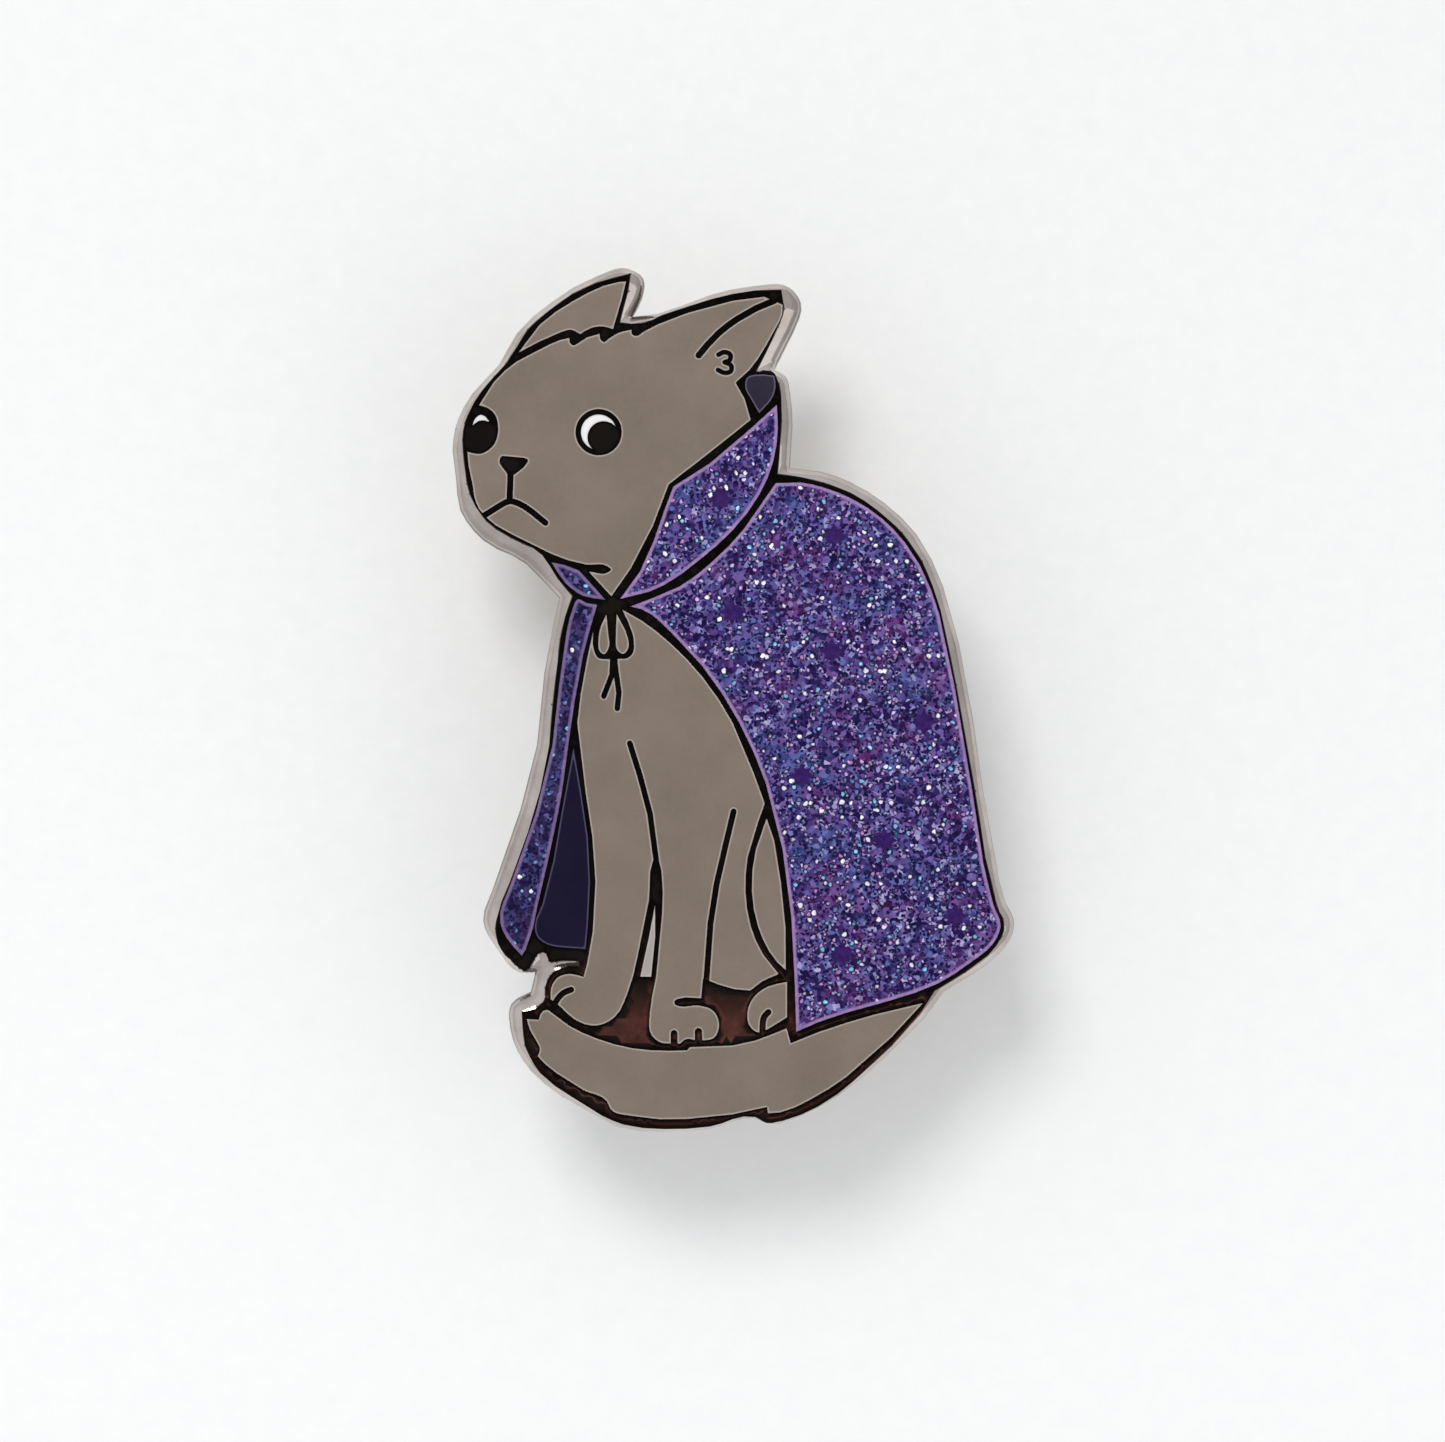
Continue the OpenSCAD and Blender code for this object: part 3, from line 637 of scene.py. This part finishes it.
BLUE = glitter(
    "blue_glitter",
    BLUE_FLAKES,
    [(0.0, srgb(52, 60, 118), 0.3), (0.2, srgb(80, 40, 92), 0.45)],
    [(0.033, 3700, 0.88, BLUE_GLINT), (0.027, 3500, 0.95, CYAN_GLINT), (0.041, 3100, 0.94, WHITE_GLINT)],
    # Plain edge along the metal, painted pale as a highlight
    (srgb(112, 92, 136), srgb(128, 106, 152)),
    0.11,
)


# Material, slot and nodes of the enamel fills
FILLS = [
    (FUR, "fur_enamel", [
        "head_enamel", "far_ear_enamel", "body_enamel", "haunch_enamel", "hind_paw_enamel",
        "tail_enamel", "bow_left_enamel", "bow_right_enamel",
    ]),
    (LIGHT_FUR, "light_fur_enamel", ["leg_gap_enamel"]),
    (EYE_WHITE, "eye_white_enamel", ["near_eye_white", "far_eye_white"]),
    (BLUE, "blue_glitter", ["collar_left_glitter", "cape_left_glitter"]),
    (VIOLET, "violet_glitter", ["collar_right_glitter", "cape_right_glitter"]),
    (SLATE, "slate_enamel", ["collar_lining_enamel"]),
    (NAVY, "navy_enamel", ["cape_lining_enamel"]),
]


# ---- Enamel fills ---------------------------------------------------------------------------

MENISCUS = 0.006
MENISCUS_WIDTH = 0.12
FACE_SWELL = 0.002
FILL_ROWS = (0.04, 0.09, 0.16, 0.24)
FILL_PITCH = 0.55


def make_fill(node, material):
    """One pour of enamel: a polished face that dips a little at its edge, side walls and a floor."""
    loops = loops_at(node, ENAMEL_Z)
    extra = np.concatenate([inset_rows(loops, FILL_ROWS, 0.13), field(loops, FILL_PITCH, 0.34)])
    verts, faces = triangulate(loops, extra)
    gap = distance(verts, loops)
    dip = MENISCUS * (1 - smooth_step(gap, 0.0, MENISCUS_WIDTH))
    z = ENAMEL_Z - dip + FACE_SWELL * bumps(verts, 1.3, 7) * smooth_step(gap, 0.2, 0.8)
    patch = Patchwork()
    patch.add(verts, z, faces, gap)
    for loop in loops:
        patch.wall(loop, RECESS_Z, ENAMEL_Z - MENISCUS)
    bottom, bottom_faces = triangulate(loops)
    patch.add(bottom, RECESS_Z, bottom_faces, 0.0, flip=True)
    piece = patch.build(node.replace("_enamel", "") + "_fill", material)
    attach(piece, "badge")
    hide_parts(node)


for fill_material, fill_slot, fill_nodes in FILLS:
    for fill_node in fill_nodes:
        make_fill(fill_node, fill_material)


# ---- The struck plate --------------------------------------------------------------------------

CROWN = 0.004
RIM_DROP = 0.62
RIM_TILT = 36
BACK_ROUND = 0.1
BACK_BORDER = 0.55
BACK_RECESS = 0.12
PAD_R = 2.25
PAD_EDGE_R = 2.5


def make_plate():
    """The struck plate in one skin: lines, recesses, rounded rim, side and a pebbled back."""
    tops = loops_at("base_plate", TOP_Z)
    tops.sort(key=area_of)
    outer = tops.pop()
    silhouette = max(loops_at("base_plate", BACK_Z), key=area_of)
    edge_z = TOP_Z - RIM_DROP
    patch = Patchwork()

    # Polished lines: flat, with their edges just rounded over towards the enamel
    region = [outer, *tops]
    extra = np.concatenate([inset_rows(region, (0.03, 0.065), 0.14), field(region, 0.4, 0.11)])
    verts, faces = triangulate(region, extra)
    z = TOP_Z - CROWN * (1 - smooth_step(distance(verts, tops), 0.0, 0.06))
    patch.add(verts, z, faces, distance(verts, region))

    # Recesses: walls and floors
    for loop in tops:
        patch.wall(loop, RECESS_Z, TOP_Z - CROWN)
    floors, floor_faces = triangulate([loop[::-1] for loop in tops])
    patch.add(floors, RECESS_Z, floor_faces, 0.0)

    # Rounded rim from the lines out to the silhouette
    rim = [silhouette, outer[::-1]]
    extra = np.concatenate([inset_rows(rim, (0.035, 0.08, 0.14), 0.12), field(rim, 0.085, 0.035)])
    verts, faces = triangulate(rim, extra)
    from_top = distance(verts, [outer])
    from_side = distance(verts, [silhouette])
    tilt = math.sin(math.radians(RIM_TILT))
    across = from_top / np.maximum(from_top + from_side, 1e-6)
    lean = tilt + (1 - tilt) * across
    z = edge_z + RIM_DROP * np.sqrt(np.maximum(0.0, 1 - lean**2)) / math.cos(math.radians(RIM_TILT))
    patch.add(verts, z, faces, RIM + across)

    # Side wall, rounded at the back
    rings = [(0.0, edge_z)]
    for turn in (math.radians(a) for a in (0, 30, 60, 90)):
        rings.append((BACK_ROUND * (1 - math.cos(turn)), BACK_Z + BACK_ROUND * (1 - math.sin(turn))))
    lefts = vertex_lefts(silhouette)
    for (in_a, z_a), (in_b, z_b) in zip(rings, rings[1:]):
        n = len(silhouette)
        xy = np.concatenate([silhouette + lefts * in_b, silhouette + lefts * in_a])
        z = np.concatenate([np.full(n, z_b), np.full(n, z_a)])
        patch.add(xy, z, [(i, (i + 1) % n, n + (i + 1) % n, n + i) for i in range(n)], SIDE)

    # Back: a plain border, a pebbled field and a flat pad under each post
    back = silhouette + lefts * BACK_ROUND
    rows = inset_rows([back], (0.25, BACK_BORDER, BACK_BORDER + 0.12), 0.2)
    extra = np.concatenate([rows, field([back], 0.17, BACK_BORDER + 0.2)])
    verts, faces = triangulate([back], extra)
    sunk = smooth_step(distance(verts, [back]), BACK_BORDER - 0.02, BACK_BORDER + 0.13)
    for post in POSTS:
        sunk *= smooth_step(np.hypot(*(verts - post).T), PAD_R, PAD_EDGE_R)
    z = BACK_Z + sunk * (BACK_RECESS * 0.6 + 0.4 * BACK_RECESS * bumps(verts, 6.5, 3))
    patch.add(verts, z, faces, SIDE, flip=True)
    piece = patch.build("struck_plate", NICKEL, creases=[outer])
    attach(piece, "badge")
    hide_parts("base_plate")


make_plate()


# ---- CAD pieces that stay as they are, with their finish ---------------------------------------


def finish_node(node, material, bevel_mm=0.0):
    """The finish of a CAD piece; a piece with no bevel keeps its flat faces."""
    obj = nodes[node]
    obj.data.materials.clear()
    obj.data.materials.append(material)
    obj.data.polygons.foreach_set("use_smooth", [bevel_mm > 0] * len(obj.data.polygons))
    weld = obj.modifiers.new("weld", "WELD")
    weld.merge_threshold = WELD_M
    if bevel_mm:
        bevel = obj.modifiers.new("bevel", "BEVEL")
        bevel.width = bevel_mm / MM
        bevel.segments = 3
        bevel.limit_method = "ANGLE"
        bevel.angle_limit = math.radians(BEVEL_DEG)
        bevel.harden_normals = True


finish_node("star_print", INK)
for end in ("upper", "lower"):
    finish_node(f"{end}_post", POST_METAL, 0.03)
    finish_node(f"{end}_solder", SOLDER, 0.03)
    finish_node(f"{end}_clutch_face", BRASS, 0.04)
    finish_node(f"{end}_clutch_shell", BRASS, 0.05)
    for side in ("left", "right"):
        finish_node(f"{end}_jaw_{side}", BRASS, 0.06)


# ---- Floor, lights and camera --------------------------------------------------------------------

VIEW_CENTRE = (-0.44, -0.92)
VIEW_WIDTH = 63.58
VIEW_DISTANCE = 250.0
CLUTCH_TRAVEL = 12.0
FLOOR_SIZE = 3.0
CARD_WIDTH = 0.13
CARD_DEPTH = 0.15
CARD_ABOVE_CAMERA = 5.0

# The brown patch on the overhead card: from and to across its fading edges, in metres
BROWN_LEFT = (-0.0133, -0.0123)
BROWN_NEAR = (-0.0314, -0.0300)
BROWN_FAR = (-0.0275, -0.0263)


def make_sheet(name, width, depth, z, material):
    """A flat sheet of the stage, in metres."""
    mesh = bpy.data.meshes.new(name)
    bm = bmesh.new()
    bmesh.ops.create_grid(bm, x_segments=1, y_segments=1, size=0.5)
    bmesh.ops.scale(bm, vec=(width, depth, 1), verts=bm.verts)
    bm.to_mesh(mesh)
    bm.free()
    mesh.materials.append(material)
    obj = bpy.data.objects.new(name, mesh)
    obj.location = (0, 0, z)
    bpy.context.scene.collection.objects.link(obj)
    return obj


def sink_with_clutches(floor):
    """The floor goes down with a clutch that has slid off its post, so the clutch still stands on it."""
    for end in ("upper", "lower"):
        follow = floor.constraints.new("TRANSFORM")
        follow.target = frame["bodies"][f"{end}_clutch"]
        follow.map_from = follow.map_to = "LOCATION"
        follow.map_to_z_from = "Z"
        follow.from_min_z = follow.to_min_z = -CLUTCH_TRAVEL / MM
        follow.mix_mode = "ADD"
    lowest = floor.constraints.new("LIMIT_LOCATION")
    lowest.use_min_z = True
    lowest.min_z = -CLUTCH_TRAVEL / MM


def overhead_card():
    """The dark shape that the flat, polished lines reflect: near black, with a brown patch low on it."""
    n = Nodes("overhead_card")
    split = n.node("ShaderNodeSeparateXYZ")
    n.link(n.place(), split.inputs[0])
    below = n.map(split.outputs[1], *BROWN_FAR, 1.0, 0.0, smooth=True)
    above = n.map(split.outputs[1], *BROWN_NEAR, 0.0, 1.0, smooth=True)
    right = n.map(split.outputs[0], *BROWN_LEFT, 0.0, 1.0, smooth=True)
    patch = n.math("MULTIPLY", n.math("MULTIPLY", below, above), right)
    glow = n.node("ShaderNodeEmission")
    n.link(n.mix(patch, srgb(69, 67, 66), srgb(222, 146, 138)), glow.inputs[0])
    n.link(glow.outputs[0], n.out.inputs[0])
    height = (VIEW_DISTANCE + TOP_Z + CARD_ABOVE_CAMERA) / MM
    card = make_sheet("overhead_card", CARD_WIDTH, CARD_DEPTH, height, n.material)
    card.visible_camera = False
    card.visible_diffuse = False
    card.visible_shadow = False
    card.visible_transmission = False


def area_light(name, place, size, power):
    data = bpy.data.lights.new(name, "AREA")
    data.size = size
    data.energy = power
    obj = bpy.data.objects.new(name, data)
    obj.location = place
    obj.rotation_euler = (-Vector(place)).to_track_quat("-Z", "Y").to_euler()
    bpy.context.scene.collection.objects.link(obj)


def make_world():
    """A pale room that is brighter on the window side, up and to the left."""
    world = bpy.data.worlds.new("studio")
    world.use_nodes = True
    tree = world.node_tree
    direction = tree.nodes.new("ShaderNodeTexCoord")
    across = tree.nodes.new("ShaderNodeVectorMath")
    across.operation = "DOT_PRODUCT"
    across.inputs[1].default_value = (-0.85, 0.5, 0.1)
    tree.links.new(direction.outputs["Generated"], across.inputs[0])
    strength = tree.nodes.new("ShaderNodeMapRange")
    strength.interpolation_type = "SMOOTHSTEP"
    for socket, number in zip(list(strength.inputs)[1:5], (-1.0, 1.0, 0.55, 0.76)):
        socket.default_value = number
    tree.links.new(across.outputs["Value"], strength.inputs["Value"])
    background = tree.nodes["Background"]
    background.inputs[0].default_value = (0.95, 0.96, 0.99, 1.0)
    tree.links.new(strength.outputs[0], background.inputs[1])
    bpy.context.scene.world = world


def make_camera():
    data = bpy.data.cameras.new("camera")
    data.sensor_width = 36.0
    data.lens = data.sensor_width * VIEW_DISTANCE / VIEW_WIDTH
    obj = bpy.data.objects.new("camera", data)
    obj.location = (VIEW_CENTRE[0] / MM, VIEW_CENTRE[1] / MM, (VIEW_DISTANCE + TOP_Z) / MM)
    bpy.context.scene.collection.objects.link(obj)
    bpy.context.scene.camera = obj


sink_with_clutches(make_sheet("paper_floor", FLOOR_SIZE, FLOOR_SIZE, 0.0, paper("paper")))
overhead_card()
make_world()
area_light("key", place=(-0.08, 0.17, 0.34), size=0.12, power=0.62)
area_light("fill", place=(0.45, -0.2, 0.5), size=0.5, power=0.35)
make_camera()
bpy.context.scene.view_settings.view_transform = "Standard"
